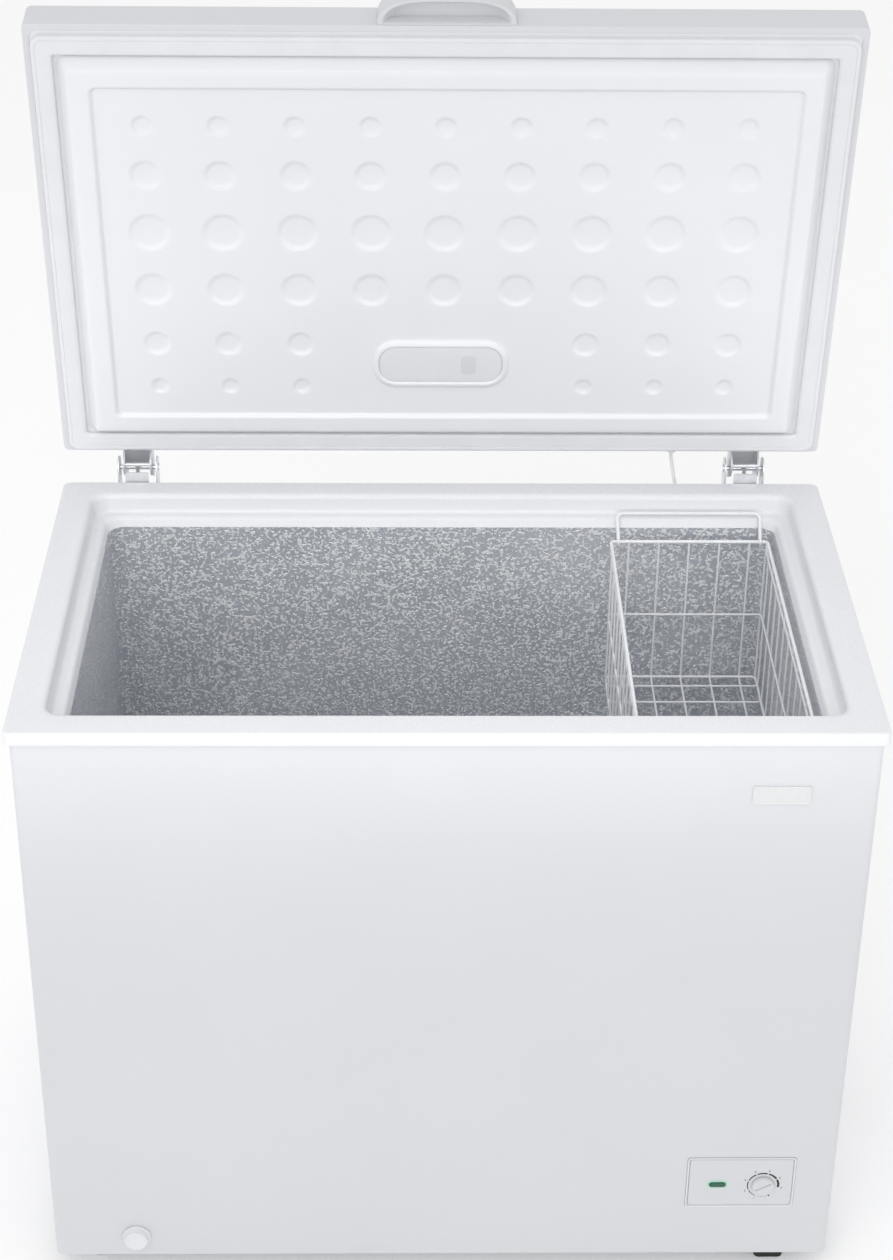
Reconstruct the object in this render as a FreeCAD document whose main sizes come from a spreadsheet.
import FreeCAD, Part
import math
import os
import Sketcher

# A chest freezer with its lid open, in millimetres, +Z up, standing on z = 0.
# Every piece is laid out about the middle of the cabinet's top rim, with the front towards -Y,
# and the lid's pieces are laid out with the lid shut, then swung open about the hinge pins.

Vector = FreeCAD.Vector
Placement = FreeCAD.Placement
Rotation = FreeCAD.Rotation

DIMENSIONS = [
    ("overall_width", 945),
    ("rim_depth", 576),
    ("rim_height", 785),
    ("rim_corner", 14),
    ("rim_skirt", 16),
    ("rim_plate", 3),
    ("shell_width", 934),
    ("shell_depth", 565),
    ("shell_bottom", 29),
    ("shell_corner", 8),
    ("sheet_steel", 0.8),
    ("back_width", 909.8),
    ("pan_steel", 1.2),
    ("pan_flange", 18),
    ("mouth_width", 866),
    ("mouth_depth", 502),
    ("mouth_middle", 3),
    ("mouth_corner", 20),
    ("mouth_draft", 8),
    ("ledge_drop", 23),
    ("ledge_width", 12),
    ("liner_width", 824),
    ("liner_depth", 460),
    ("liner_top_drop", 35),
    ("liner_floor", 110),
    ("liner_corner", 18),
    ("liner_sheet", 0.8),
    ("step_left", 170),
    ("step_height", 330),
    ("bay_left", 215),
    ("bay_top", 285),
    ("evaporator_bore", 8),
    ("condenser_bore", 5),
    ("evaporator_bend", 22),
    ("condenser_bend", 30),
    ("lid_gap", 8),
    ("lid_height", 50),
    ("lid_corner", 6),
    ("lid_edge", 5.8),
    ("lip_width", 930),
    ("lip_depth", 561),
    ("liner_plate", 2.5),
    ("plug_width", 876),
    ("plug_depth", 512),
    ("plug_height", 18),
    ("plug_slope", 13),
    ("panel_width", 806),
    ("panel_depth", 444),
    ("panel_recess", 4),
    ("panel_wall", 5),
    ("dimple_depth", 3),
    ("gasket_width", 928),
    ("gasket_depth", 558),
    ("gasket_band", 23),
    ("gasket_height", 8.6),
    ("handle_width", 156),
    ("handle_reach", 30),
    ("handle_height", 38),
    ("handle_wall", 4),
    ("lamp_width", 166),
    ("lamp_depth", 67.5),
    ("window_width", 149),
    ("window_depth", 49),
    ("lamp_pocket", 20),
    ("pivot_back", 313.3),
    ("pivot_height", 793.1),
    ("pivot_bore", 6),
    ("cam_bore", 5),
    ("cam_arm", 12),
    ("open_angle", 81.566),
    ("hinge_spread", 763),
    ("bracket_width", 49.5),
    ("bracket_steel", 1.8),
    ("bracket_foot", 650),
    ("arm_width", 36),
    ("arm_steel", 2.5),
    ("spring_width", 14),
    ("spring_wire", 1.8),
    ("spring_seat", 701),
    ("plunger_bore", 5),
    ("running_gap", 0.05),
    ("panel_face_width", 129),
    ("panel_face_height", 77.6),
    ("knob_radius", 13.5),
    ("shaft_radius", 3),
    ("badge_width", 64),
    ("badge_height", 23),
    ("badge_thick", 2),
    ("drain_radius", 11),
    ("drain_bore", 9),
    ("foot_width", 35.5),
    ("foot_depth", 36),
    ("foot_corner", 6),
    ("stud_radius", 4),
    ("basket_width", 199),
    ("basket_length", 424),
    ("basket_depth", 200),
    ("basket_rim_wire", 4.5),
    ("basket_wire", 2.8),
    ("lead_diameter", 4.6),
    ("middle_back", -32.68),
]

doc = FreeCAD.newDocument("chest_freezer")
sheet = doc.addObject("Spreadsheet::Sheet", "Dims")
for row, (alias, value) in enumerate(DIMENSIONS, start=1):
    sheet.set(f"A{row}", alias)
    sheet.set(f"B{row}", str(value))
    sheet.setAlias(f"B{row}", alias)
doc.recompute()


def size(alias):
    return float(sheet.get(alias))


# ---- places worked out from the driving dimensions ----

TOP = size("rim_height")
HALF_WIDTH = size("overall_width") / 2
HALF_DEPTH = size("rim_depth") / 2
SHELL_X = size("shell_width") / 2
SHELL_Y = size("shell_depth") / 2
BOTTOM = size("shell_bottom")
STEEL = size("sheet_steel")
PLATE_UNDER = TOP - size("rim_plate")
LEDGE = TOP - size("ledge_drop")
LINER_TOP = TOP - size("liner_top_drop")
LINER_FLOOR = size("liner_floor")
LINER_X = size("liner_width") / 2
LINER_BACK = size("mouth_middle") + size("liner_depth") / 2
LINER_FRONT = size("mouth_middle") - size("liner_depth") / 2
LID_BOTTOM = TOP + size("lid_gap")
LINER_FACE = LID_BOTTOM + 1
PLUG_FACE = LINER_FACE - size("plug_height")
PANEL_FACE = PLUG_FACE + size("panel_recess")
PIVOT = Vector(0, size("pivot_back"), size("pivot_height"))

# ---- fixed values that drive more than one piece ----

CLEAR = 0.3
ACROSS = 600
SIDES = {"left": -1, "right": 1}
MOUTH_Y = size("mouth_middle")
GROW = {"inside": 0.0, "behind": size("rim_plate")}

# feet, drain, side grille, rear cover and the mains inlet's gland
FOOT_X = -417.5
FOOT_Y = -244
FOOT_RIGHT_X = 401
DRAIN_X = -368
DRAIN_Z = 58.5
DRAIN_INSIDE_Y = -190
DRAIN_BEND = 24
VENT_Y = -75
VENT_Z = 75
VENT_LONG = 150
VENT_TALL = 120
VENT_SLOTS = 9
ACCESS_X = 235
ACCESS_Z = 52
ACCESS_WIDE = 210
ACCESS_TALL = 215
LOUVRE_ROWS = 12
GRILLE = 2.5
COVER = 1.2
GLAND_X = 260
GLAND_Z = 80

# the compressor and the turns of the two coils
COMPRESSOR_X = 345
COMPRESSOR_Y = 150
UPPER_TURNS = [350 + 54 * k for k in range(8)]
LOWER_TURNS = [130 + 48 * k for k in range(4)]
CONDENSER_TURNS = [340 + 46 * k for k in range(7)]

# the front control panel, with its lamp and its flat dial, and the badge
PANEL_X = 355
PANEL_Z = 143.2
PANEL_FRONT = 1.6
PANEL_BOX_WIDE = 120
PANEL_BOX_TALL = 68.6
PANEL_BOX_DEEP = 16
PANEL_WALL = 2
KNOB_X = 382
KNOB_Z = 139
KNOB_DEPTH = 3
COIN_SLOT = (21, 2.6, 1.4)
COIN_TILT = -30
THERMOSTAT = (34, 22)
LAMP_X = 327.5
LAMP_Z = 140.4
BADGE_PLACE = (361, 703, SHELL_Y)

# the lid's lining, lamp and grip
DIMPLE_COLUMNS = [0, 86, 172, 259, 345]
DIMPLE_ROWS = [(451, 25, 0), (388, 38, 0), (313, 50, 0), (235.5, 45, 0), (159.5, 33, 172), (98.5, 21, 172)]
LAMP_CENTRE_X = -3
LAMP_CENTRE_Y = HALF_DEPTH - 139
LAMP_RAISED = 5
LAMP_RECESS = 6
HANDLE_BACK = size("handle_width") / 2 - 10

# the lamp's lead, held at both ends
LEAD_LID = (289, HALF_DEPTH, 800)
LEAD_END = (297, SHELL_Y, 757)
LEAD_HOLE = 4
LEAD_ROUTE = [(290, 318.8, 802), (293.5, 321, 784), (297, 312, 765), (297, 297, 757)]
GROMMET = 3

# the wire basket and its two loops
BASKET_X = 306.5
BASKET_Y = size("mouth_middle")
BASKET_TOP = TOP - 43
BASKET_CORNER = 4
BASKET_PITCH_X = 37.5
BASKET_PITCH_Y = 38
BASKET_MIDDLE = 96
BASKET_HEM = 12
CORNER_POST = 4
HANDLE_FOOT = 88
HANDLE_HALF = 89
HANDLE_REACH = 27
HANDLE_RISE = 25.2
HANDLE_BEND = 7

# ---- how the pieces are set in the assembly ----

MIDDLE = Vector(0, size("middle_back"), 0)
LID_SWING = Placement(Vector(), Rotation(Vector(1, 0, 0), -size("open_angle")), PIVOT)
FRAMES = {
    "cabinet": Placement(MIDDLE, Rotation()),
    "lid": Placement(MIDDLE, Rotation()).multiply(LID_SWING),
}
PIECES = {}


def piece(node, obj, frame="cabinet"):
    """Name a finished sub-part and note the frame it is laid out in."""
    obj.Label = node
    PIECES[node] = (obj, frame)
    return obj


def bind(obj, **formulas):
    """Bind an object's sizes to cells of the sheet, or set them where they are plain numbers."""
    for prop, formula in formulas.items():
        if isinstance(formula, str):
            obj.setExpression(prop, formula)
        else:
            setattr(obj, prop, formula)


def block(name, length, width, height, corner):
    """A box from its lowest corner."""
    obj = doc.addObject("Part::Box", name)
    bind(obj, Length=length, Width=width, Height=height)
    obj.Placement = Placement(Vector(*corner), Rotation())
    return obj


def turned(direction):
    return Rotation(Vector(0, 0, 1), Vector(*direction))


def rod(name, radius, length, start, direction=(0, 0, 1)):
    """A round bar from its start point along a direction."""
    obj = doc.addObject("Part::Cylinder", name)
    bind(obj, Radius=radius, Height=length)
    obj.Placement = Placement(Vector(*start), turned(direction))
    return obj


def cone(name, radius, end_radius, length, start, direction=(0, 0, 1)):
    obj = doc.addObject("Part::Cone", name)
    bind(obj, Radius1=radius, Radius2=end_radius, Height=length)
    obj.Placement = Placement(Vector(*start), turned(direction))
    return obj


def group(name, objects):
    """Several separate solids that share one node."""
    obj = doc.addObject("Part::Compound", name)
    obj.Links = objects
    return obj


def fuse(name, objects):
    obj = doc.addObject("Part::MultiFuse", name)
    obj.Shapes = objects
    obj.Refine = True
    return obj


def cut(name, base, tools):
    obj = doc.addObject("Part::Cut", name)
    obj.Base = base
    obj.Tool = tools[0] if len(tools) == 1 else group(f"{name}_tools", tools)
    obj.Refine = True
    return obj


def solid(name, shape):
    obj = doc.addObject("Part::Feature", name)
    obj.Shape = shape
    return obj


def outline(body, name, width, depth, radius, plane, offset):
    """A rounded rectangle, centred on its own origin, drawn on one of the body's planes."""
    sketch = body.newObject("Sketcher::SketchObject", name)
    role = [feature for feature in body.Origin.OriginFeatures if feature.Role == plane]
    sketch.AttachmentSupport = (role[0], [""])
    sketch.MapMode = "FlatFace"
    sketch.AttachmentOffset = Placement(Vector(*offset), Rotation())
    reach, drop, curve = 50, 40, 10
    corners = [(1, -1), (1, 1), (-1, 1), (-1, -1)]
    for k, (sx, sy) in enumerate(corners):
        nx, ny = corners[(k + 1) % 4]
        start = Vector(sx * (reach - curve * (sx != nx)), sy * (drop - curve * (sy != ny)), 0)
        end = Vector(nx * (reach - curve * (sx != nx)), ny * (drop - curve * (sy != ny)), 0)
        sketch.addGeometry(Part.LineSegment(start, end), False)
    for k in range(4):
        nx, ny = corners[(k + 1) % 4]
        centre = Vector(nx * (reach - curve), ny * (drop - curve), 0)
        first = math.radians(90 * k)
        circle = Part.Circle(centre, Vector(0, 0, 1), curve)
        sketch.addGeometry(Part.ArcOfCircle(circle, first, first + math.pi / 2), False)
    for k in range(4):
        sketch.addConstraint(Sketcher.Constraint("Tangent", k, 2, 4 + k, 1))
        sketch.addConstraint(Sketcher.Constraint("Tangent", 4 + k, 2, (k + 1) % 4, 1))
    for k in (0, 2):
        sketch.addConstraint(Sketcher.Constraint("Vertical", k))
        sketch.addConstraint(Sketcher.Constraint("Horizontal", k + 1))
    for k in (5, 6, 7):
        sketch.addConstraint(Sketcher.Constraint("Equal", 4, k))
    sketch.addConstraint(Sketcher.Constraint("Symmetric", 4, 3, 6, 3, -1, 1))
    widest = sketch.addConstraint(Sketcher.Constraint("DistanceX", 2, 1, 0, 1, 2 * reach))
    deepest = sketch.addConstraint(Sketcher.Constraint("DistanceY", 3, 1, 1, 1, 2 * drop))
    rounding = sketch.addConstraint(Sketcher.Constraint("Radius", 4, curve))
    for index, formula in ((rounding, radius), (widest, width), (deepest, depth)):
        sketch.setExpression(f"Constraints[{index}]", str(formula))
    return sketch


PLANES = {"level": "XY_Plane", "upright": "XZ_Plane"}


def slab(name, width, depth, radius, thickness, offset, facing="level"):
    """A plate with rounded corners. level: it rises from offset. upright: it grows towards -Y."""
    body = doc.addObject("PartDesign::Body", name)
    sketch = outline(body, f"{name}_outline", width, depth, radius, PLANES[facing], offset)
    pad = body.newObject("PartDesign::Pad", f"{name}_pad")
    pad.Profile = sketch
    bind(pad, Length=thickness)
    sketch.Visibility = False
    return body


def tapered(name, low, high, low_offset, high_offset):
    """A block between two rounded rectangles, each given as width, depth and radius."""
    body = doc.addObject("PartDesign::Body", name)
    bottom = outline(body, f"{name}_low", *low, PLANES["level"], low_offset)
    top = outline(body, f"{name}_high", *high, PLANES["level"], high_offset)
    loft = body.newObject("PartDesign::AdditiveLoft", f"{name}_loft")
    loft.Profile = bottom
    loft.Sections = [top]
    loft.Ruled = True
    return body


def soften(name, base, radius, wanted):
    """Round the edges of a body that a test picks out."""
    doc.recompute()
    tip = base.Tip
    names = [f"Edge{n}" for n, edge in enumerate(tip.Shape.Edges, start=1) if wanted(edge)]
    fillet = base.newObject("PartDesign::Fillet", name)
    fillet.Base = (tip, names)
    bind(fillet, Radius=radius)
    return base


def at_height(height):
    def test(edge):
        return all(abs(v.Z - height) < 0.01 for v in edge.Vertexes)
    return test


def path_edges(points, share=0.45, radius=None):
    """Straight runs joined by tangent arcs, through a list of points."""
    points = [Vector(*p) for p in points]
    edges, start = [], points[0]
    for before, here, after in zip(points, points[1:], points[2:]):
        back, ahead = before - here, after - here
        half_turn = (math.pi - back.getAngle(ahead)) / 2
        reach = share * min(back.Length, ahead.Length)
        if radius:
            reach = radius * math.tan(half_turn)
        bend = reach / math.tan(half_turn)
        into = here + back.normalize() * reach
        out = here + ahead.normalize() * reach
        middle = (back + ahead).normalize()
        top = here + middle * (math.hypot(reach, bend) - bend)
        edges.append(Part.LineSegment(start, into).toShape())
        edges.append(Part.Arc(into, top, out).toShape())
        start = out
    edges.append(Part.LineSegment(start, points[-1]).toShape())
    return edges


def tube(points, diameter, share=0.45, radius=None):
    """A round bar that follows a list of points."""
    path = Part.Wire(path_edges(points, share, radius))
    first = path.Edges[0]
    heading = first.tangentAt(first.FirstParameter)
    ring = Part.Wire(Part.makeCircle(diameter / 2, first.Vertexes[0].Point, heading))
    return path.makePipeShell([ring], True, False)


# ---- the cabinet's top rim, liner and insulation ----


def mouth(side):
    """The space inside the rim: the mouth, the basket ledge and the neck down to the liner."""
    grow = GROW[side]
    draft = size("mouth_draft")
    ledge = size("ledge_width")
    wide, deep = f"Dims.mouth_width + {2 * grow}", f"Dims.mouth_depth + {2 * grow}"
    corner = f"Dims.mouth_corner + {grow}"
    low_wide, low_deep = f"{wide} - {draft}", f"{deep} - {draft}"
    floor = LEDGE - grow
    upper = tapered(
        f"mouth_{side}",
        (low_wide, low_deep, corner),
        (wide, deep, corner),
        (0, MOUTH_Y, floor),
        (0, MOUTH_Y, TOP),
    )
    neck = tapered(
        f"neck_{side}",
        (f"Dims.liner_width + {2 * grow}", f"Dims.liner_depth + {2 * grow}", corner),
        (f"{low_wide} - {2 * ledge}", f"{low_deep} - {2 * ledge}", corner),
        (0, MOUTH_Y, LINER_TOP),
        (0, MOUTH_Y, floor),
    )
    return fuse(f"mouth_space_{side}", [upper, neck])


def tank(name, grow, top):
    """The liner's outline, grown all round: a deep box with a step over the compressor bay."""
    floor = LINER_FLOOR - grow
    deep = slab(
        f"{name}_deep",
        f"Dims.liner_width + {2 * grow}",
        f"Dims.liner_depth + {2 * grow}",
        f"Dims.liner_corner + {grow}",
        top - floor,
        (0, MOUTH_Y, floor),
    )
    step = block(
        f"{name}_step",
        400,
        600,
        f"Dims.step_height - {grow} - {floor}",
        (size("step_left") + grow, -300, floor),
    )
    return cut(name, deep, [step])


def make_top_rim():
    plate = slab(
        "rim_outer",
        "Dims.overall_width",
        "Dims.rim_depth",
        "Dims.rim_corner",
        "Dims.rim_skirt",
        (0, 0, TOP - size("rim_skirt")),
    )
    under = slab(
        "rim_under",
        "Dims.shell_width + 0.2",
        "Dims.shell_depth + 0.2",
        "Dims.shell_corner",
        "Dims.rim_skirt - Dims.rim_plate",
        (0, 0, TOP - size("rim_skirt")),
    )
    cover = cut("rim_cover", plate, [under])
    walls = fuse("rim_walls", [cover, mouth("behind")])
    piece("top_rim", cut("top_rim", walls, [mouth("inside")]))


def make_liner():
    sheet_grow = size("liner_sheet")
    outer = tank("liner_outer", sheet_grow, LINER_TOP)
    inner = tank("liner_inner", 0, LINER_TOP + 5)
    drain_hole = rod("liner_drain_hole", "Dims.drain_bore", 10, (DRAIN_X, DRAIN_INSIDE_Y, LINER_FLOOR - 5))
    piece("liner_tank", cut("liner_tank", outer, [inner, drain_hole]))


def make_foam():
    base = BOTTOM + size("pan_steel")
    whole = slab(
        "foam_block",
        f"Dims.shell_width - {2 * STEEL}",
        f"Dims.shell_depth - {2 * STEEL}",
        f"Dims.shell_corner - {STEEL}",
        PLATE_UNDER - base,
        (0, 0, base),
    )
    neck = doc.getObject("mouth_space_behind")
    hollow = tank("foam_hollow", size("liner_sheet"), LINER_TOP)
    bay = block(
        "bay_space", 300, 600, f"Dims.bay_top - {base} + 1", (size("bay_left"), -300, base - 1)
    )
    flange = size("pan_flange")
    rails = cut(
        "pan_rails",
        block("rails_outer", 1000, 600, flange, (-500, -300, base - 0.5)),
        [
            block(
                "rails_inner",
                f"Dims.shell_width - {2 * (STEEL + size('pan_steel'))}",
                f"Dims.shell_depth - {2 * (STEEL + size('pan_steel'))}",
                flange + 2,
                (-SHELL_X + STEEL + size("pan_steel"), -SHELL_Y + STEEL + size("pan_steel"), base - 1),
            )
        ],
    )
    foot_room = rod("foot_room", 16, 36, (FOOT_X, FOOT_Y, base - 1))
    drain_room = solid("drain_room", drain_route(size("drain_radius")))
    drain_mouth = rod("drain_room_top", 13, 6, (DRAIN_X, DRAIN_INSIDE_Y, LINER_FLOOR - 6))
    piece(
        "cabinet_foam",
        cut("cabinet_foam", whole, [neck, hollow, bay, rails, foot_room, drain_room, drain_mouth]),
    )


# ---- the steel case ----

def make_case():
    height = PLATE_UNDER - BOTTOM
    outer = slab(
        "wrapper_outer",
        "Dims.shell_width",
        "Dims.shell_depth",
        "Dims.shell_corner",
        height,
        (0, 0, BOTTOM),
    )
    inner = slab(
        "wrapper_inner",
        "Dims.shell_width - 2 * Dims.sheet_steel",
        "Dims.shell_depth - 2 * Dims.sheet_steel",
        "Dims.shell_corner - Dims.sheet_steel",
        height + 2,
        (0, 0, BOTTOM - 1),
    )
    half_back = size("back_width") / 2
    rear = block(
        "wrapper_rear", "Dims.back_width", 6, height + 2, (-half_back, SHELL_Y - 3, BOTTOM - 1)
    )
    panel_hole = block("wrapper_panel_hole", 121, 10, 69.6, (PANEL_X - 60.5, -SHELL_Y - 5, PANEL_Z - 34.8))
    drain_hole = rod(
        "wrapper_drain_hole", "Dims.drain_radius", 10, (DRAIN_X, -SHELL_Y + 5, DRAIN_Z), (0, -1, 0)
    )
    vent_hole = block("wrapper_vent_hole", 10, VENT_LONG, VENT_TALL, (SHELL_X - 5, VENT_Y, VENT_Z))
    piece(
        "outer_wrapper",
        cut("outer_wrapper", outer, [inner, rear, panel_hole, drain_hole, vent_hole]),
    )
    back = block(
        "back_sheet", "Dims.back_width", "Dims.sheet_steel", height, (-half_back, SHELL_Y - STEEL, BOTTOM)
    )
    access = block("access_hole", ACCESS_WIDE, 10, ACCESS_TALL, (ACCESS_X, SHELL_Y - 5, ACCESS_Z))
    lead_hole = rod("back_lead_hole", LEAD_HOLE, 10, (LEAD_END[0], SHELL_Y - 5, LEAD_END[2]), (0, 1, 0))
    piece("back_panel", cut("back_panel", back, [access, lead_hole]))
    pan = size("pan_steel")
    pan_outer = block(
        "pan_outer",
        "Dims.shell_width - 2 * Dims.sheet_steel",
        "Dims.shell_depth - 2 * Dims.sheet_steel",
        "Dims.pan_flange",
        (-SHELL_X + STEEL, -SHELL_Y + STEEL, BOTTOM),
    )
    pan_body = soften_box("pan_rounded", pan_outer, size("shell_corner") - STEEL)
    pan_inner = block(
        "pan_inner",
        "Dims.shell_width - 2 * Dims.sheet_steel - 2 * Dims.pan_steel",
        "Dims.shell_depth - 2 * Dims.sheet_steel - 2 * Dims.pan_steel",
        "Dims.pan_flange",
        (-SHELL_X + STEEL + pan, -SHELL_Y + STEEL + pan, BOTTOM + pan),
    )
    stud_hole = rod("pan_stud_hole", size("stud_radius") + 1, 10, (FOOT_X, FOOT_Y, BOTTOM - 5))
    piece("base_pan", cut("base_pan", pan_body, [pan_inner, stud_hole]))


def soften_box(name, base, radius):
    """Round a box's four upright edges."""
    doc.recompute()
    upright = []
    for n, edge in enumerate(base.Shape.Edges, start=1):
        rise = edge.Vertexes[1].Point - edge.Vertexes[0].Point
        if abs(rise.z) > 0.9 * edge.Length:
            upright.append((n, radius, radius))
    fillet = doc.addObject("Part::Fillet", name)
    fillet.Base = base
    fillet.Edges = upright
    return fillet


def make_vents():
    """The side grille, which fills its hole, and the louvred cover over the back of the bay."""
    border, slot, pitch, depth = 10, 6, 12.5, 6
    column_wide, column_pitch, row_pitch, first_row = 88, 98, 12, 62
    flange = block(
        "vent_flange",
        GRILLE,
        VENT_LONG + 2 * border,
        VENT_TALL + 2 * border,
        (SHELL_X, VENT_Y - border, VENT_Z - border),
    )
    core = block(
        "vent_core",
        depth,
        VENT_LONG - 2 * CLEAR,
        VENT_TALL - 2 * CLEAR,
        (SHELL_X - depth, VENT_Y + CLEAR, VENT_Z + CLEAR),
    )
    slots = []
    for k in range(VENT_SLOTS):
        corner = (SHELL_X - 15, VENT_Y + border, VENT_Z + 7 + pitch * k)
        slots.append(block(f"vent_slot_{k}", 30, VENT_LONG - 2 * border, slot, corner))
    piece("vent_grille", cut("vent_grille", fuse("vent_body", [flange, core]), slots))
    cover = block(
        "cover_plate",
        ACCESS_WIDE + 2 * border,
        COVER,
        ACCESS_TALL + 2 * border,
        (ACCESS_X - border, SHELL_Y, ACCESS_Z - border),
    )
    holes = []
    for column in range(2):
        for k in range(LOUVRE_ROWS):
            left = ACCESS_X + 12 + column * column_pitch
            corner = (left, SHELL_Y - 5, ACCESS_Z + first_row + row_pitch * k)
            holes.append(block(f"cover_slot_{column}_{k}", column_wide, 10, slot, corner))
    gland_hole = rod("cover_gland_hole", 9, 10, (GLAND_X, SHELL_Y - 5, GLAND_Z), (0, 1, 0))
    piece("compressor_cover", cut("compressor_cover", cover, holes + [gland_hole]))
    screws = []
    for x in (ACCESS_X - 5, ACCESS_X + ACCESS_WIDE + 5):
        for z in (ACCESS_Z + 4, ACCESS_Z + ACCESS_TALL - 4):
            screws.append(rod(f"cover_screw_{x}_{z}", 4, 2, (x, SHELL_Y + COVER, z), (0, 1, 0)))
    piece("cover_screws", group("cover_screws", screws))
    gland = fuse(
        "gland_body",
        [
            rod("gland_collar", 12, 4, (GLAND_X, SHELL_Y + COVER, GLAND_Z), (0, 1, 0)),
            rod("gland_neck", 8.9, 14, (GLAND_X, SHELL_Y - 10, GLAND_Z), (0, 1, 0)),
        ],
    )
    gland_bore = rod("gland_bore", 3.8, 40, (GLAND_X, SHELL_Y - 20, GLAND_Z), (0, 1, 0))
    piece("power_inlet_gland", cut("power_inlet_gland", gland, [gland_bore]))


# ---- refrigeration ----

def coil(name, left, right, half_depth, heights, diameter, bend):
    """A tube wound round the cabinet, climbing a quarter of a turn at each corner."""
    points = []
    for turn, low in enumerate(heights[:-1]):
        rise = heights[turn + 1] - low
        corners = [(left, -half_depth), (right, -half_depth), (right, half_depth), (left, half_depth)]
        for k, (x, y) in enumerate(corners):
            points.append((x, y + MOUTH_Y, low + rise * k / 4))
    middle = (points[0][0], points[0][1] + half_depth, points[0][2] - 6)
    points.insert(0, middle)
    return solid(name, tube(points, diameter, radius=bend))


def make_coils():
    evaporator = size("evaporator_bore")
    out = size("liner_sheet") + evaporator / 2 + CLEAR
    upper = coil(
        "evaporator_upper",
        -LINER_X - out,
        LINER_X + out,
        size("liner_depth") / 2 + out,
        UPPER_TURNS,
        evaporator,
        size("evaporator_bend"),
    )
    lower = coil(
        "evaporator_lower",
        -LINER_X - out,
        size("step_left") + size("liner_sheet") + size("evaporator_bend") + CLEAR,
        size("liner_depth") / 2 + out,
        LOWER_TURNS,
        evaporator,
        size("evaporator_bend"),
    )
    piece("evaporator_coil", group("evaporator_coil", [upper, lower]))
    condenser = size("condenser_bore")
    inset = STEEL + condenser / 2 + CLEAR
    wound = coil(
        "condenser_coil",
        -SHELL_X + inset,
        SHELL_X - inset,
        SHELL_Y - inset - MOUTH_Y,
        CONDENSER_TURNS,
        condenser,
        size("condenser_bend"),
    )
    piece("condenser_coil", wound)


def make_compressor():
    """The sealed pot on its foot plate, with the rubber feet, relay, drier and pipes."""
    base = BOTTOM + size("pan_steel")
    foot = base + 14
    pot_radius, pot_height = 74, 92
    dome = doc.addObject("Part::Sphere", "pot_dome")
    bind(dome, Radius=pot_radius)
    dome.Placement = Placement(Vector(COMPRESSOR_X, COMPRESSOR_Y, foot + 20 + pot_height), Rotation())
    squash = block(
        "pot_top_trim", 200, 200, 100, (COMPRESSOR_X - 100, COMPRESSOR_Y - 100, foot + 20 + pot_height + 44)
    )
    can = rod("pot_can", pot_radius, pot_height, (COMPRESSOR_X, COMPRESSOR_Y, foot + 20))
    lower = cone("pot_low", pot_radius - 16, pot_radius, 20, (COMPRESSOR_X, COMPRESSOR_Y, foot))
    belt = rod("pot_seam", pot_radius + 4, 5, (COMPRESSOR_X, COMPRESSOR_Y, foot + 62))
    dome_low = block(
        "pot_dome_trim", 200, 200, 90, (COMPRESSOR_X - 100, COMPRESSOR_Y - 100, foot - 40 + pot_height - 32)
    )
    cap = cut("pot_cap", dome, [squash, dome_low])
    plate = block("pot_plate", 180, 110, 3, (COMPRESSOR_X - 90, COMPRESSOR_Y - 55, foot - 3))
    stubs = [
        rod("pot_suction_stub", 5, 30, (COMPRESSOR_X - 40, COMPRESSOR_Y - 80, foot + 80), (0, 1, 0)),
        rod("pot_discharge_stub", 4, 20, (COMPRESSOR_X - 12, COMPRESSOR_Y - 87, foot + 50), (0, 1, 0)),
    ]
    piece("compressor", fuse("compressor", [cap, can, lower, belt, plate] + stubs))
    grommets, bolts = [], []
    for sx in (-1, 1):
        for sy in (-1, 1):
            x, y = COMPRESSOR_X + 78 * sx, COMPRESSOR_Y + 44 * sy
            tag = f"{sx}_{sy}"
            grommets.append(rod(f"grommet_{tag}", 9, foot - 3 - base, (x, y, base)))
            bolts.append(rod(f"mount_bolt_{tag}", 5.5, 4, (x, y, foot)))
    piece("compressor_grommets", group("compressor_grommets", grommets))
    piece("compressor_bolts", group("compressor_bolts", bolts))
    relay_front = COMPRESSOR_Y - pot_radius - 44.2
    piece("start_relay", block("start_relay", 34, 44, 38, (COMPRESSOR_X - 17, relay_front, foot + 70)))
    pipe_z = foot + 80
    suction = tube(
        [
            (COMPRESSOR_X - 40, COMPRESSOR_Y - 80, pipe_z),
            (COMPRESSOR_X - 40, COMPRESSOR_Y - 130, pipe_z),
            (COMPRESSOR_X - 70, COMPRESSOR_Y - 170, pipe_z + 20),
            (COMPRESSOR_X - 70, COMPRESSOR_Y - 190, pipe_z + 75),
            (COMPRESSOR_X - 70, COMPRESSOR_Y - 190, size("bay_top") + 10),
        ],
        8,
    )
    piece("suction_pipe", solid("suction_pipe", suction))
    discharge = tube(
        [
            (COMPRESSOR_X - 12, COMPRESSOR_Y - 87, foot + 50),
            (COMPRESSOR_X - 12, COMPRESSOR_Y - 150, foot + 50),
            (COMPRESSOR_X + 30, COMPRESSOR_Y - 190, foot + 70),
            (COMPRESSOR_X + 70, COMPRESSOR_Y - 210, foot + 130),
            (COMPRESSOR_X + 70, COMPRESSOR_Y - 210, size("bay_top") + 10),
        ],
        5,
    )
    piece("discharge_pipe", solid("discharge_pipe", discharge))
    drier = rod("filter_drier", 10, 110, (COMPRESSOR_X - 90, COMPRESSOR_Y - 250, foot + 70), (0, 0.94, 0.34))
    piece("filter_drier", drier)


# ---- front controls, badge and drain ----

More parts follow.
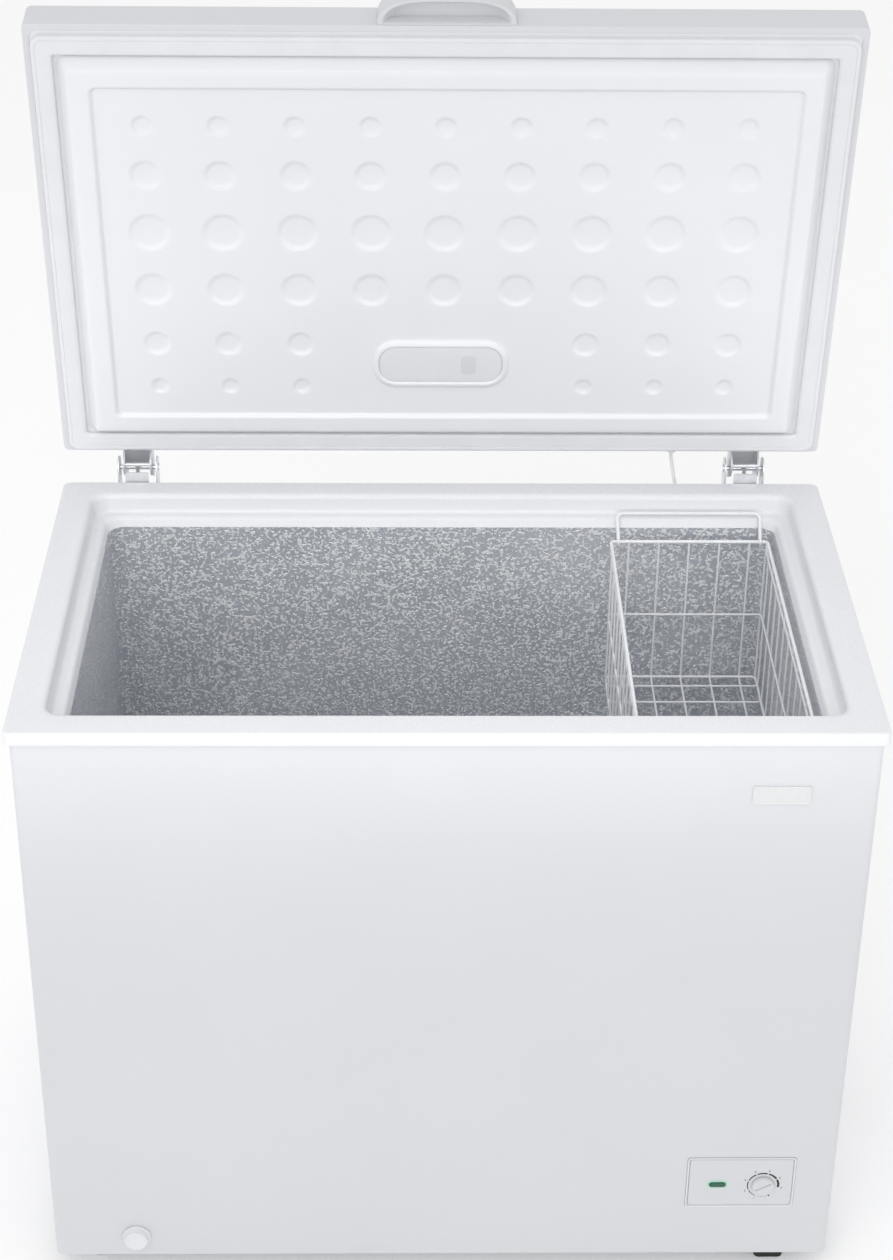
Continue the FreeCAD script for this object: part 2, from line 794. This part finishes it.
def make_controls():
    face = slab(
        "panel_face",
        "Dims.panel_face_width",
        "Dims.panel_face_height",
        5,
        PANEL_FRONT,
        (PANEL_X, PANEL_Z, SHELL_Y),
        "upright",
    )
    half_wide, half_tall = PANEL_BOX_WIDE / 2, PANEL_BOX_TALL / 2
    box = block(
        "panel_box",
        PANEL_BOX_WIDE,
        PANEL_BOX_DEEP,
        PANEL_BOX_TALL,
        (PANEL_X - half_wide, -SHELL_Y, PANEL_Z - half_tall),
    )
    hollow = block(
        "panel_hollow",
        PANEL_BOX_WIDE - 2 * PANEL_WALL,
        PANEL_BOX_DEEP + 4,
        PANEL_BOX_TALL - 2 * PANEL_WALL,
        (PANEL_X - half_wide + PANEL_WALL, -SHELL_Y + 1.5, PANEL_Z - half_tall + PANEL_WALL),
    )
    gap = size("running_gap")
    shaft_hole = rod(
        "panel_shaft_hole", size("shaft_radius") + gap, 10, (KNOB_X, -SHELL_Y + 5, KNOB_Z), (0, -1, 0)
    )
    lamp_hole = slab("panel_lamp_hole", 18, 5, 2.45, 10, (LAMP_X, LAMP_Z, SHELL_Y - 5), "upright")
    bowl = cut("panel_bowl", fuse("panel_solid", [face, box]), [hollow, shaft_hole, lamp_hole])
    piece("control_panel", bowl)
    rear = block(
        "panel_rear_cover",
        PANEL_BOX_WIDE,
        PANEL_WALL,
        PANEL_BOX_TALL,
        (PANEL_X - half_wide, -SHELL_Y + PANEL_BOX_DEEP, PANEL_Z - half_tall),
    )
    case_wide, case_deep = THERMOSTAT
    room = case_wide + 2
    rear_hole = block(
        "rear_cover_hole", room, 20, room, (KNOB_X - room / 2, -SHELL_Y + 10, KNOB_Z - room / 2)
    )
    piece("control_box_cover", cut("control_box_cover", rear, [rear_hole]))
    lens = slab("lamp_lens_front", 20, 6.7, 3.3, 1.2, (LAMP_X, LAMP_Z, SHELL_Y + PANEL_FRONT), "upright")
    stem = slab("lamp_stem", 17.6, 4.6, 2.25, 10, (LAMP_X, LAMP_Z, SHELL_Y + PANEL_FRONT - 10), "upright")
    piece("power_lamp", fuse("power_lamp", [lens, stem]))
    housing = block(
        "thermostat_case",
        case_wide,
        case_deep,
        case_wide,
        (KNOB_X - case_wide / 2, -SHELL_Y + 4, KNOB_Z - case_wide / 2),
    )
    bore = rod(
        "thermostat_bore", size("shaft_radius") + gap, 14, (KNOB_X, -SHELL_Y + 16, KNOB_Z), (0, -1, 0)
    )
    piece("thermostat_body", cut("thermostat_body", housing, [bore]))
    front = SHELL_Y + PANEL_FRONT + CLEAR
    shaft = rod(
        "thermostat_shaft",
        "Dims.shaft_radius",
        front - SHELL_Y + 1 + 14,
        (KNOB_X, -SHELL_Y + 14, KNOB_Z),
        (0, -1, 0),
    )
    piece("thermostat_shaft", shaft)
    disc = cone(
        "knob_disc",
        "Dims.knob_radius",
        "Dims.knob_radius - 0.8",
        KNOB_DEPTH,
        (KNOB_X, -front, KNOB_Z),
        (0, -1, 0),
    )
    socket = rod("knob_socket", "Dims.shaft_radius", 2, (KNOB_X, -front + 1, KNOB_Z), (0, -1, 0))
    slot_long, slot_wide, slot_deep = COIN_SLOT
    slot = block("knob_coin_slot", slot_long, 2 * slot_deep, slot_wide, (0, 0, 0))
    aim = Rotation(Vector(0, 1, 0), COIN_TILT)
    centre = Vector(KNOB_X, -front - KNOB_DEPTH, KNOB_Z)
    slot.Placement = Placement(centre + aim.multVec(Vector(-slot_long / 2, -slot_deep, -slot_wide / 2)), aim)
    piece("thermostat_knob", cut("thermostat_knob", disc, [socket, slot]))
    badge = slab(
        "badge_plate", "Dims.badge_width", "Dims.badge_height", 3, "Dims.badge_thick", BADGE_PLACE, "upright"
    )
    piece("badge_plate", badge)


def drain_route(radius):
    """The drain's bend, from the liner's floor down and out through the front."""
    return tube(
        [
            (DRAIN_X, DRAIN_INSIDE_Y, LINER_FLOOR - 6),
            (DRAIN_X, DRAIN_INSIDE_Y, DRAIN_Z),
            (DRAIN_X, -SHELL_Y, DRAIN_Z),
        ],
        2 * radius,
        radius=DRAIN_BEND,
    )


def make_drain():
    collar = rod("drain_collar", 13, 6 - size("liner_sheet"), (DRAIN_X, DRAIN_INSIDE_Y, LINER_FLOOR - 6))
    outer = fuse("drain_outer", [solid("drain_skin", drain_route(size("drain_radius"))), collar])
    inner = solid("drain_bend_bore", drain_route(size("drain_bore")))
    throat = rod("drain_throat", "Dims.drain_bore", 20, (DRAIN_X, DRAIN_INSIDE_Y, LINER_FLOOR - 10))
    mouth_bore = rod("drain_mouth", "Dims.drain_bore", 20, (DRAIN_X, -SHELL_Y + 10, DRAIN_Z), (0, -1, 0))
    piece("drain_tube", cut("drain_tube", outer, [inner, throat, mouth_bore]))
    face = -SHELL_Y - CLEAR
    flange = rod("cap_flange", 17, 2, (DRAIN_X, face, DRAIN_Z), (0, -1, 0))
    grip = cone("cap_grip", 14.5, 13.5, 8, (DRAIN_X, face - 2, DRAIN_Z), (0, -1, 0))
    stem = rod("cap_stem", size("drain_bore") - 0.4, 20, (DRAIN_X, face + 18, DRAIN_Z), (0, -1, 0))
    piece("drain_cap", fuse("drain_cap", [flange, grip, stem]))
    head = rod("plug_head", 14, 2.5, (DRAIN_X, DRAIN_INSIDE_Y, LINER_FLOOR + CLEAR))
    stopper = rod("plug_stopper", size("drain_bore") - 0.4, 14, (DRAIN_X, DRAIN_INSIDE_Y, LINER_FLOOR - 12))
    ring = block("plug_tab", 12, 2.5, 8, (DRAIN_X - 6, DRAIN_INSIDE_Y - 1.25, LINER_FLOOR + CLEAR + 2))
    piece("drain_plug", fuse("drain_plug", [head, stopper, ring]))


def make_feet():
    feet = []
    for x, y in ((FOOT_RIGHT_X, FOOT_Y), (FOOT_RIGHT_X, -FOOT_Y), (-FOOT_RIGHT_X, -FOOT_Y)):
        feet.append(
            slab(f"foot_{x:.0f}_{y}", "Dims.foot_width", "Dims.foot_depth", "Dims.foot_corner", BOTTOM, (x, y, 0))
        )
    piece("fixed_feet", group("fixed_feet", feet))
    glide = rod("glide_disc", 12, 5, (FOOT_X, FOOT_Y, 0))
    dome = cone("glide_dome", 12, 5, 5, (FOOT_X, FOOT_Y, 5))
    stud = rod("glide_stud", "Dims.stud_radius", 48, (FOOT_X, FOOT_Y, 8))
    piece("levelling_foot", fuse("levelling_foot", [glide, dome, stud]))
    nut = rod("nut_body", 9, 8, (FOOT_X, FOOT_Y, BOTTOM + size("pan_steel")))
    nut_bore = rod("nut_bore", size("stud_radius") + size("running_gap"), 20, (FOOT_X, FOOT_Y, BOTTOM - 5))
    piece("foot_nut", cut("foot_nut", nut, [nut_bore]))


# ---- hinges ----

def arm_cheek(name, x, thickness):
    """One side plate of a hinge arm: from the lid's rear face, round the pivot and the cam pin."""
    y, z = PIVOT.y, PIVOT.z
    front = HALF_DEPTH + 2
    corner = [
        Vector(x, front, z + 5.4),
        Vector(x, front, z + 25),
        Vector(x, y + 20, z + 25),
        Vector(x, y + 24, z + 21),
        Vector(x, y + 24, z + 14),
        Vector(x, y + 8, z - 7),
        Vector(x, y + 2, z - 9.5),
        Vector(x, y - 6, z - 13),
        Vector(x, y - 12.5, z - 13),
        Vector(x, y - 16, z - 8),
    ]
    face = Part.Face(Part.makePolygon(corner + corner[:1]))
    return solid(name, face.extrude(Vector(thickness, 0, 0)))


def make_hinge(side):
    x = SIDES[side] * size("hinge_spread") / 2
    y, z = PIVOT.y, PIVOT.z
    half = size("bracket_width") / 2
    steel = size("bracket_steel")
    foot = size("bracket_foot")
    shelf = TOP - size("rim_skirt") - 1 - steel
    seat = size("spring_seat")
    plate_height = shelf + steel - foot
    wide, thick = "Dims.bracket_width", "Dims.bracket_steel"
    parts = [
        block(f"bracket_plate_{side}", wide, thick, plate_height, (x - half, SHELL_Y, foot)),
        block(f"bracket_shelf_{side}", wide, 9.5, thick, (x - half, SHELL_Y, shelf)),
        block(f"bracket_tongue_{side}", 29, thick, 796 - shelf, (x - 14.5, HALF_DEPTH + 2.2, shelf)),
        block(f"bracket_seat_{side}", wide, 30, thick, (x - half, SHELL_Y, seat - steel)),
    ]
    for sx in (-1, 1):
        cheek_x = x + sx * half - (steel if sx > 0 else 0)
        parts.append(block(f"cheek_low_{side}_{sx}", thick, 44, plate_height, (cheek_x, SHELL_Y, foot)))
        parts.append(block(f"cheek_neck_{side}_{sx}", thick, 28, z - shelf, (cheek_x, y - 14, shelf)))
        parts.append(rod(f"cheek_top_{side}_{sx}", 14, steel, (cheek_x, y, z), (1, 0, 0)))
    gap = size("running_gap")
    cam_y = y - size("cam_arm") * math.cos(math.radians(size("open_angle") / 2))
    cam_rise = size("cam_arm") * math.sin(math.radians(size("open_angle") / 2))
    holes = [
        rod(f"bracket_pin_hole_{side}", "Dims.pivot_bore / 2", 80, (x - 40, y, z), (1, 0, 0)),
        rod(f"bracket_rod_hole_{side}", f"Dims.plunger_bore / 2 + {gap}", 20, (x, cam_y, seat - 10)),
    ]
    piece(f"hinge_bracket_{side}", cut(f"hinge_bracket_{side}", fuse(f"bracket_body_{side}", parts), holes))
    pin = rod(f"pin_shank_{side}", "Dims.pivot_bore / 2", "Dims.bracket_width", (x - half, y, z), (1, 0, 0))
    heads = [
        rod(f"pin_head_{side}_{sx}", 5, 1.5, (x + sx * half - (1.5 if sx < 0 else 0), y, z), (1, 0, 0))
        for sx in (-1, 1)
    ]
    piece(f"hinge_pin_{side}", fuse(f"hinge_pin_{side}", [pin] + heads))
    # the sliding plunger follows the arm's cam pin; the lid's open pose is its highest
    top = z + cam_rise - size("cam_bore") / 2 - 0.5
    stem = rod(f"plunger_stem_{side}", "Dims.plunger_bore / 2", top - (seat - 11), (x, cam_y, seat - 11))
    collar = rod(f"plunger_collar_{side}", 6.5, 3, (x, cam_y, seat + 59))
    piece(f"plunger_{side}", fuse(f"plunger_{side}", [stem, collar]))
    wire = size("spring_wire")
    coil_radius = (size("spring_width") - wire) / 2
    helix = Part.makeHelix(5.4, 57.5 - wire, coil_radius)
    ring = Part.Wire(Part.makeCircle(wire / 2, Vector(coil_radius, 0, 0), Vector(0, 1, 0.14)))
    spring = Part.Wire(helix.Edges).makePipeShell([ring], True, True)
    spring.translate(Vector(x, cam_y, seat + wire / 2 + CLEAR))
    piece(f"hinge_spring_{side}", solid(f"hinge_spring_{side}", spring))
    # the arm, laid out with the lid shut
    arm_half = size("arm_width") / 2
    arm_steel = size("arm_steel")
    flange = block(f"arm_flange_{side}", 48, 2, 33, (x - 24, HALF_DEPTH, z + 5.4))
    web = block(f"arm_web_{side}", "Dims.arm_width", 46, 2, (x - arm_half, HALF_DEPTH, z + 23))
    cheeks = [
        arm_cheek(f"arm_cheek_{side}_left", x - arm_half, arm_steel),
        arm_cheek(f"arm_cheek_{side}_right", x + arm_half - arm_steel, arm_steel),
    ]
    cam_z = z - cam_rise
    cam_start = (x - arm_half, cam_y, cam_z)
    cam_pin = rod(f"cam_pin_{side}", "Dims.cam_bore / 2", "Dims.arm_width", cam_start, (1, 0, 0))
    bore = rod(f"arm_bore_{side}", f"Dims.pivot_bore / 2 + {gap}", 80, (x - 40, y, z), (1, 0, 0))
    arm = cut(f"hinge_arm_{side}", fuse(f"arm_body_{side}", [flange, web] + cheeks + [cam_pin]), [bore])
    piece(f"hinge_arm_{side}", arm, "lid")


def make_screws():
    """Screw heads, in one group for the brackets and one for the arms."""
    heads, arm_heads = [], []
    for side, sign in SIDES.items():
        x = sign * size("hinge_spread") / 2
        for sx in (-1, 1):
            for z in (665, 740):
                start = (x + 15 * sx, SHELL_Y + size("bracket_steel"), z)
                heads.append(rod(f"bracket_screw_{side}_{sx}_{z}", 4, 2.5, start, (0, 1, 0)))
            for z in (804, 826):
                start = (x + 21.2 * sx, HALF_DEPTH + 2, z)
                arm_heads.append(rod(f"arm_screw_{side}_{sx}_{z}", 2.8, 2, start, (0, 1, 0)))
    piece("bracket_screws", group("bracket_screws", heads))
    piece("arm_screws", group("arm_screws", arm_heads), "lid")


# ---- the lid ----

def make_lid_shell():
    skin_top = LID_BOTTOM + size("lid_height")
    outer = slab(
        "skin_outer",
        "Dims.overall_width",
        "Dims.rim_depth",
        "Dims.lid_corner",
        "Dims.lid_height",
        (0, 0, LID_BOTTOM),
    )
    soften("skin_outer_round", outer, "Dims.lid_edge", at_height(skin_top))
    inner = slab(
        "skin_inner",
        "Dims.overall_width - 2 * Dims.sheet_steel",
        "Dims.rim_depth - 2 * Dims.sheet_steel",
        "Dims.lid_corner - Dims.sheet_steel",
        "Dims.lid_height - 2 * Dims.sheet_steel",
        (0, 0, LID_BOTTOM + STEEL),
    )
    soften("skin_inner_round", inner, "Dims.lid_edge - Dims.sheet_steel", at_height(skin_top - STEEL))
    lip = slab("skin_lip", "Dims.lip_width", "Dims.lip_depth", 10, 5, (0, MOUTH_Y, LID_BOTTOM - 2))
    piece("lid_skin", cut("lid_skin", outer, [inner, lip]), "lid")


def plug_block(name, grow, base, face, slope):
    """The part of the lid that drops into the mouth, narrower at its face than at its base."""
    wide, deep = f"Dims.plug_width - {2 * grow}", f"Dims.plug_depth - {2 * grow}"
    return tapered(
        name,
        (f"{wide} - {2 * slope}", f"{deep} - {2 * slope}", 12),
        (wide, deep, 18),
        (0, MOUTH_Y, face),
        (0, MOUTH_Y, base),
    )


def make_lid_lining():
    wall = size("liner_plate")
    plate = slab("lining_plate", 936, 570, 10, "Dims.liner_plate", (0, 0, LINER_FACE))
    plug = plug_block("lining_plug", 0, LINER_FACE + wall, PLUG_FACE, size("plug_slope"))
    base, face, slope = LINER_FACE + wall + 0.01, PANEL_FACE + size("panel_wall"), size("plug_slope") - 4
    inner = plug_block("lining_inner", wall, base, face, slope)
    panel = slab(
        "lining_panel",
        "Dims.panel_width",
        "Dims.panel_depth",
        10,
        "Dims.panel_recess + 5",
        (2, MOUTH_Y, PLUG_FACE - 5),
    )
    dimples = []
    for along, diameter, nearest in DIMPLE_ROWS:
        for column in DIMPLE_COLUMNS:
            if column < nearest:
                continue
            for sign in ((-1, 1) if column else (1,)):
                place = (sign * column, HALF_DEPTH - along - 7, PANEL_FACE - 0.5)
                name = f"dimple_{sign * column}_{int(along)}"
                dimples.append(cone(name, diameter / 2, diameter / 4, "Dims.dimple_depth + 0.5", place))
    room_wide, room_deep = f"Dims.window_width + {LAMP_RECESS}", f"Dims.window_depth + {LAMP_RECESS}"
    lamp_hole = slab(
        "lining_lamp_hole", room_wide, room_deep, 20, 40, (LAMP_CENTRE_X, LAMP_CENTRE_Y, PLUG_FACE - 5)
    )
    moulding = fuse("lining_body", [plate, plug])
    piece("lid_liner", cut("lid_liner", moulding, [inner, panel, lamp_hole] + dimples), "lid")
    slab_part = slab(
        "lid_foam_slab",
        "Dims.overall_width - 2 * Dims.sheet_steel",
        "Dims.rim_depth - 2 * Dims.sheet_steel",
        "Dims.lid_corner - Dims.sheet_steel",
        f"Dims.lid_height - {LINER_FACE + wall - LID_BOTTOM} - Dims.sheet_steel",
        (0, 0, LINER_FACE + wall),
    )
    foam_top = LID_BOTTOM + size("lid_height") - STEEL
    soften("lid_foam_round", slab_part, "Dims.lid_edge - Dims.sheet_steel", at_height(foam_top))
    fill = plug_block("lid_foam_plug", wall, base, face, slope)
    lamp_room = slab(
        "foam_lamp_room",
        room_wide,
        room_deep,
        20,
        "Dims.lamp_pocket + 5",
        (LAMP_CENTRE_X, LAMP_CENTRE_Y, PANEL_FACE - 5),
    )
    piece("lid_foam", cut("lid_foam", fuse("lid_foam_body", [slab_part, fill]), [lamp_room]), "lid")


def make_gasket():
    low = LINER_FACE - size("gasket_height")
    outer = slab(
        "gasket_outer", "Dims.gasket_width", "Dims.gasket_depth", 12, "Dims.gasket_height", (0, MOUTH_Y, low)
    )
    inner = slab(
        "gasket_inner",
        "Dims.gasket_width - 2 * Dims.gasket_band",
        "Dims.gasket_depth - 2 * Dims.gasket_band",
        8,
        "Dims.gasket_height + 2",
        (0, MOUTH_Y, low - 1),
    )
    piece("lid_gasket", cut("lid_gasket", outer, [inner]), "lid")


def make_handle():
    """A hooded grip on the lid's front edge, hollow from below for the fingers."""
    low = LID_BOTTOM + 3
    wall = size("handle_wall")
    outer = slab(
        "handle_outer",
        "Dims.handle_width",
        "2 * Dims.handle_reach",
        20,
        "Dims.handle_height",
        (0, -HALF_DEPTH, low),
    )
    hollow = slab(
        "handle_hollow",
        "Dims.handle_width - 2 * Dims.handle_wall",
        "2 * Dims.handle_reach - 2 * Dims.handle_wall",
        16,
        "Dims.handle_height - Dims.handle_wall + 1",
        (0, -HALF_DEPTH, low - 1),
    )
    behind = block("handle_behind", 400, 200, 100, (-200, -HALF_DEPTH, low - 20))
    back = block(
        "handle_back",
        "Dims.handle_width - 20",
        3,
        size("handle_height") - wall,
        (-HANDLE_BACK, -HALF_DEPTH - 3, low),
    )
    shell = cut("handle_shell", outer, [hollow, behind])
    piece("lid_handle", fuse("lid_handle", [shell, back]), "lid")


def make_lamp():
    """The lamp in the lid: a raised bezel, its window, and a tray with the board and tilt switch."""
    place = (LAMP_CENTRE_X, LAMP_CENTRE_Y)
    outside = PANEL_FACE - LAMP_RAISED
    rim_outer = slab(
        "bezel_outer", "Dims.lamp_width", "Dims.lamp_depth", 30, LAMP_RAISED, (*place, outside)
    )
    rim_inner = slab(
        "bezel_inner", "Dims.window_width", "Dims.window_depth", 21, LAMP_RAISED + 2, (*place, outside - 1)
    )
    piece("lamp_bezel", cut("lamp_bezel", rim_outer, [rim_inner]), "lid")
    lens = slab(
        "lamp_lens", "Dims.window_width - 0.4", "Dims.window_depth - 0.4", 20.8, 2, (*place, outside + 1.5)
    )
    piece("lamp_lens", lens, "lid")
    tray_outer = slab(
        "tray_outer",
        "Dims.window_width + 5.6",
        "Dims.window_depth + 5.6",
        19.8,
        "Dims.lamp_pocket - 0.4",
        (*place, PANEL_FACE),
    )
    tray_inner = slab(
        "tray_inner",
        "Dims.window_width + 2",
        "Dims.window_depth + 2",
        18,
        "Dims.lamp_pocket - 2",
        (*place, PANEL_FACE - 0.5),
    )
    piece("lamp_housing", cut("lamp_housing", tray_outer, [tray_inner]), "lid")
    board_z = PANEL_FACE + 8
    board = block("board_plate", 110, 34, 1.6, (LAMP_CENTRE_X - 55, LAMP_CENTRE_Y - 17, board_z))
    diode = rod("board_diode", 9, 4, (LAMP_CENTRE_X + 22, LAMP_CENTRE_Y, board_z - 4))
    piece("lamp_board", fuse("lamp_board", [board, diode]), "lid")
    tilt = rod("tilt_switch", 3.5, 16, (LAMP_CENTRE_X - 46, LAMP_CENTRE_Y, board_z + 1.6 + 3.5), (1, 0, 0))
    piece("tilt_switch", tilt, "lid")


# ---- the lamp's lead, held at both ends ----

def make_lead():
    swing = LID_SWING.multVec(Vector(*LEAD_LID))
    outward = LID_SWING.Rotation.multVec(Vector(0, 1, 0))
    start = swing + outward * (GROMMET + CLEAR)
    points = [tuple(start)] + LEAD_ROUTE + [(LEAD_END[0], SHELL_Y + GROMMET, LEAD_END[2])]
    piece("lamp_lead", solid("lamp_lead", tube(points, size("lead_diameter"))))
    piece("lead_grommet_lid", rod("lead_grommet_lid", 6, GROMMET, LEAD_LID, (0, 1, 0)), "lid")
    collar = rod("grommet_collar", 6.5, GROMMET, LEAD_END, (0, 1, 0))
    neck = rod("grommet_neck", LEAD_HOLE, STEEL, (LEAD_END[0], SHELL_Y - STEEL, LEAD_END[2]), (0, 1, 0))
    piece("lead_grommet_cabinet", fuse("lead_grommet_cabinet", [collar, neck]))


# ---- the wire basket on its ledge ----

def ring_shape(half_x, half_y, z, corner, diameter):
    """A closed wire frame with rounded corners, swept as two halves."""
    halves = []
    for sign in (-1, 1):
        side = sign * half_x
        points = [(0, -half_y, z), (side, -half_y, z), (side, half_y, z), (0, half_y, z)]
        moved = [(x + BASKET_X, y + BASKET_Y, height) for x, y, height in points]
        halves.append(tube(moved, diameter, radius=corner))
    return halves[0].fuse(halves[1]).removeSplitter()


def wire_lines(half, pitch, count):
    """Where the cage's wires stand, from one corner post to the other."""
    inner = [pitch * k for k in range(-count, count + 1)]
    return [-half + CORNER_POST] + inner + [half - CORNER_POST]


def make_basket():
    rim_wire = size("basket_rim_wire")
    wire = size("basket_wire")
    half_x = size("basket_width") / 2 - rim_wire / 2
    half_y = size("basket_length") / 2 - rim_wire / 2
    frame = solid("basket_frame", ring_shape(half_x, half_y, BASKET_TOP, BASKET_CORNER, rim_wire))
    low = BASKET_TOP - size("basket_depth")
    outer = block(
        "basket_outer",
        2 * half_x + wire,
        2 * half_y + wire,
        "Dims.basket_depth",
        (BASKET_X - half_x - wire / 2, BASKET_Y - half_y - wire / 2, low),
    )
    rounded = soften_box("basket_rounded", outer, BASKET_CORNER + wire / 2)
    inner_box = block(
        "basket_inner_box",
        2 * half_x - wire,
        2 * half_y - wire,
        "Dims.basket_depth",
        (BASKET_X - half_x + wire / 2, BASKET_Y - half_y + wire / 2, low + wire),
    )
    inner = soften_box("basket_inner", inner_box, BASKET_CORNER - wire / 2)
    gaps = []
    lines_x = wire_lines(half_x, BASKET_PITCH_X, 2)
    lines_y = wire_lines(half_y, BASKET_PITCH_Y, 5)
    middle = low + BASKET_MIDDLE
    for band, (base, top) in enumerate(((low + BASKET_HEM, middle), (middle + wire, BASKET_TOP - 1))):
        for k, (left, right) in enumerate(zip(lines_x, lines_x[1:])):
            corner = (BASKET_X + left + wire / 2, BASKET_Y - 300, base)
            gaps.append(block(f"end_gap_{band}_{k}", right - left - wire, 600, top - base, corner))
        for k, (near, far) in enumerate(zip(lines_y, lines_y[1:])):
            corner = (BASKET_X - 200, BASKET_Y + near + wire / 2, base)
            gaps.append(block(f"side_gap_{band}_{k}", 400, far - near - wire, top - base, corner))
    for i, (left, right) in enumerate(zip(lines_x, lines_x[1:])):
        for k, (near, far) in enumerate(zip(lines_y, lines_y[1:])):
            corner = (BASKET_X + left + wire / 2, BASKET_Y + near + wire / 2, low - 5)
            gaps.append(block(f"floor_gap_{i}_{k}", right - left - wire, far - near - wire, 20, corner))
    cage = cut("basket_cage", rounded, [inner] + gaps)
    piece("basket", fuse("basket", [cage, frame]))
    for side, sign in (("front", -1), ("rear", 1)):
        make_basket_handle(side, sign, half_y)


def make_basket_handle(side, sign, half_y):
    """A wire loop hinged on the frame's end wire, leaning out against the edge of the rim's ledge."""
    rim_wire = size("basket_rim_wire")
    pivot_y = BASKET_Y + sign * half_y
    rest_y = pivot_y + sign * HANDLE_REACH
    rest_z = BASKET_TOP + HANDLE_RISE
    up = Vector(0, rest_y - pivot_y, rest_z - BASKET_TOP).normalize()
    start = Vector(0, pivot_y, BASKET_TOP) + up * 5
    points = [
        (BASKET_X - HANDLE_FOOT, start.y, start.z),
        (BASKET_X - HANDLE_HALF, rest_y, rest_z),
        (BASKET_X + HANDLE_HALF, rest_y, rest_z),
        (BASKET_X + HANDLE_FOOT, start.y, start.z),
    ]
    loop = solid(f"handle_loop_{side}", tube(points, rim_wire, radius=HANDLE_BEND))
    eyes = []
    bores = []
    for x in (BASKET_X - HANDLE_FOOT, BASKET_X + HANDLE_FOOT):
        bore_start = (x - 5, pivot_y, BASKET_TOP)
        eyes.append(rod(f"handle_eye_{side}_{x}", 5.2, 4, (x - 2, pivot_y, BASKET_TOP), (1, 0, 0)))
        bores.append(rod(f"handle_bore_{side}_{x}", rim_wire / 2 + 0.4, 10, bore_start, (1, 0, 0)))
    body = fuse(f"handle_body_{side}", [loop] + eyes)
    piece(f"basket_handle_{side}", cut(f"basket_handle_{side}", body, bores))


# ---- build, check and write every piece ----

make_top_rim()
make_case()
make_liner()
make_foam()
make_vents()
make_coils()
make_compressor()
make_controls()
make_drain()
make_feet()
for hinge_side in SIDES:
    make_hinge(hinge_side)
make_screws()
make_lid_shell()
make_lid_lining()
make_gasket()
make_handle()
make_lamp()
make_lead()
make_basket()
doc.recompute()

for node, (obj, frame) in PIECES.items():
    obj.Placement = FRAMES[frame].multiply(obj.Placement)
doc.recompute()

for obj in doc.Objects:
    if "Invalid" in obj.State or "Error" in obj.State:
        raise RuntimeError(f"{obj.Label} did not compute: {obj.State}")

os.makedirs("parts", exist_ok=True)
whole = FreeCAD.BoundBox()
for node, (obj, frame) in PIECES.items():
    shape = obj.Shape
    if shape.isNull() or not shape.isValid() or not shape.Solids:
        raise RuntimeError(f"{node} is not a valid solid")
    shape.exportStep(f"parts/{node}.step")
    box = shape.BoundBox
    whole.add(box)
    print(f"{node:24s} solids {len(shape.Solids):3d} volume {shape.Volume / 1000:10.2f} cm3")
print("pieces", len(PIECES), "bounds", whole)
